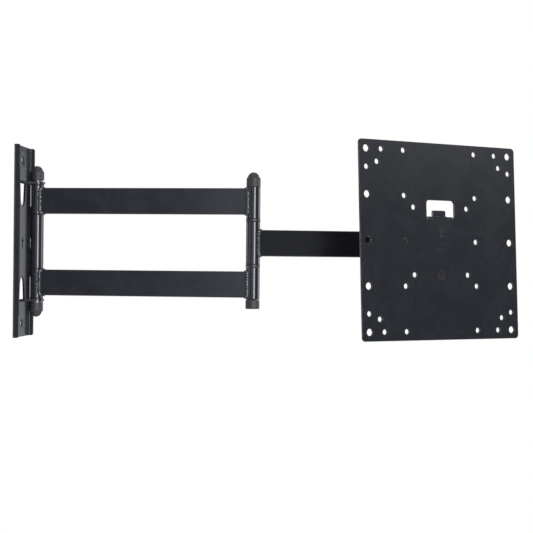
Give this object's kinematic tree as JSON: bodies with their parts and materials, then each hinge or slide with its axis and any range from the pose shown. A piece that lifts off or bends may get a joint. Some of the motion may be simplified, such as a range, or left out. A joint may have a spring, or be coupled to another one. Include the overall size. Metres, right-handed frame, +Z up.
{
  "type": "full motion tv wall mount",
  "caption": "Articulated wall mount for a screen: wall plate with punched ears, twin-tube upper arm, single-tube forearm and a swivel, level and tilt head with a square hole-pattern plate.",
  "frame": {"origin": "centre of the wall plate's back face, where it meets the wall", "axes": "+X out of the wall into the room, +Z up, +Y to the left of someone facing the wall"},
  "size_m": [0.5788, 0.1388, 0.224],
  "materials": {
    "powder_coat": "satin black powder coat over steel",
    "plate_coat": "satin black powder coat on the screen plate",
    "cap_plastic": "moulded black polyethylene",
    "nylon": "black nylon bushes and friction discs",
    "black_steel": "black zinc plated fasteners",
    "zinc_steel": "zinc plated fasteners under the caps"
  },
  "bodies": {
    "wall": {"wall_plate": "powder_coat", "shoulder_bolt": "zinc_steel", "shoulder_nut": "zinc_steel", "shoulder_spring_washer": "zinc_steel", "shoulder_flat_washer": "zinc_steel", "shoulder_cap_top": "cap_plastic", "shoulder_cap_bottom": "cap_plastic"},
    "upper_arm": {"upper_tube_top": "powder_coat", "upper_tube_bottom": "powder_coat", "shoulder_sleeve_top": "powder_coat", "shoulder_sleeve_bottom": "powder_coat", "shoulder_bushes": "nylon", "shoulder_spacer": "powder_coat", "elbow_sleeve_top": "powder_coat", "elbow_sleeve_bottom": "powder_coat", "elbow_bolt": "zinc_steel", "elbow_washer": "zinc_steel", "elbow_nut": "black_steel", "elbow_cap_top": "cap_plastic", "elbow_cap_bottom": "cap_plastic"},
    "forearm": {"forearm_tube": "powder_coat", "elbow_sleeve_middle": "powder_coat", "elbow_bushes": "nylon", "swivel_sleeve": "powder_coat", "swivel_bushes": "nylon"},
    "swivel": {"swivel_bracket": "powder_coat", "swivel_bolt": "black_steel", "swivel_nut": "black_steel", "swivel_washers": "black_steel"},
    "level": {"level_washer": "black_steel", "level_nut": "black_steel", "level_disc": "nylon", "tilt_yoke": "powder_coat", "level_bolt": "black_steel", "level_guide_pins": "black_steel", "tilt_spacer": "black_steel", "tilt_bolt": "black_steel", "tilt_nut": "black_steel", "tilt_washers": "black_steel", "tilt_friction_washers": "nylon"},
    "screen": {"head_bracket": "powder_coat", "screen_plate": "plate_coat", "lock_screw": "black_steel", "weld_nut": "zinc_steel"}
  },
  "joints": [
    {"name": "shoulder", "type": "hinge", "parent": "wall", "child": "upper_arm", "pos_m": [0.019, 0, 0], "axis": [0, 0, 1], "range_deg": [-87, 93]},
    {"name": "elbow", "type": "hinge", "parent": "upper_arm", "child": "forearm", "pos_m": [0.27365, -0.01335, 0], "axis": [0, 0, 1], "range_deg": [-134, 160]},
    {"name": "swivel", "type": "hinge", "parent": "forearm", "child": "swivel", "pos_m": [0.44345, 0.02899, 0], "axis": [0, 0, 1], "range_deg": [-21.6, 158.4]},
    {"name": "level", "type": "hinge", "parent": "swivel", "child": "level", "pos_m": [0.45509, 0.01273, 0], "axis": [0.5821, -0.8131, 0], "range_deg": [-5, 5]},
    {"name": "tilt", "type": "hinge", "parent": "level", "child": "screen", "pos_m": [0.4679, -0.00516, 0], "axis": [0.8131, 0.5821, 0], "range_deg": [-12, 18]}
  ]
}
